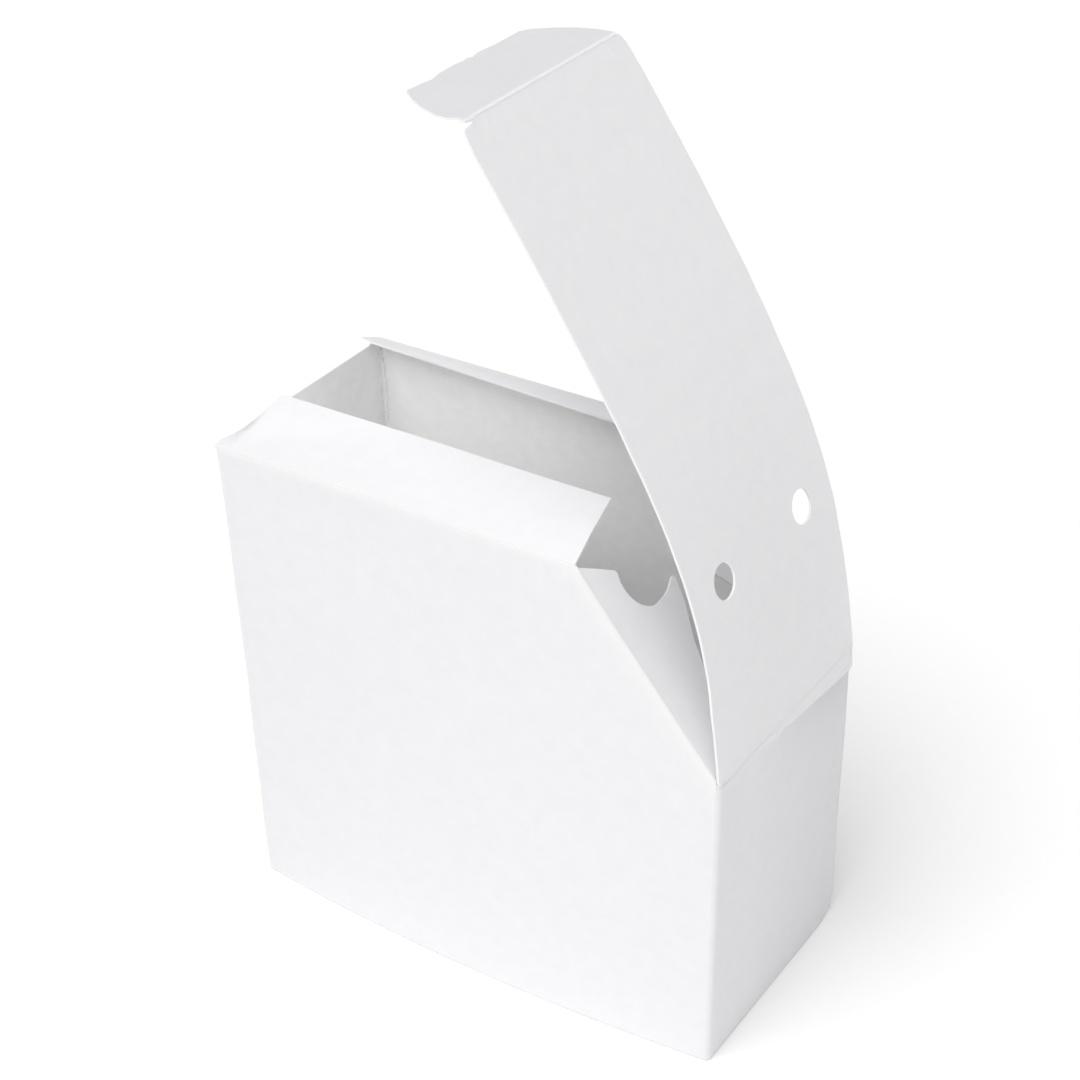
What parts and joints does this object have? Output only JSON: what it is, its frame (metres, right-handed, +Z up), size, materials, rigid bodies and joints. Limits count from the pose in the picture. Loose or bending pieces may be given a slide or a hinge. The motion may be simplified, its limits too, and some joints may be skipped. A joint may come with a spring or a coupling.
{
  "type": "takeout food box",
  "caption": "Tall narrow folded paperboard takeout box with a sloped shoulder, a long one-piece lid with two vent holes and a tuck flap, shown open.",
  "frame": {"origin": "on the ground under the middle of the box", "axes": "+X along the broad front from the tall end wall to the short end wall that carries the lid, +Y from the front to the back, +Z up"},
  "size_m": [0.1719, 0.0892, 0.2839],
  "materials": {
    "board": "matt clay-coated white boxboard"
  },
  "bodies": {
    "carton": {"carton_body": "board", "front_dust_flap": "board", "back_dust_flap": "board"},
    "lid_lower": {"lid_slope_panel": "board"},
    "lid_upper": {"lid_top_panel": "board"},
    "tuck": {"tuck_flap": "board"}
  },
  "joints": [
    {"name": "lid_hinge", "type": "hinge", "parent": "carton", "child": "lid_lower", "pos_m": [0.08495, 0, 0.10505], "axis": [0, 1, 0], "range_deg": [-23.6, 120]},
    {"name": "lid_bend", "type": "hinge", "parent": "lid_lower", "child": "lid_upper", "pos_m": [0.06829, 0, 0.17852], "axis": [0, -1, 0], "range_deg": [0, 35.9], "deforming": ["front_dust_flap", "back_dust_flap"]},
    {"name": "tuck_fold", "type": "hinge", "parent": "lid_upper", "child": "tuck", "pos_m": [0.00621, 0, 0.28357], "axis": [0, -1, 0], "range_deg": [-58, 32]}
  ]
}
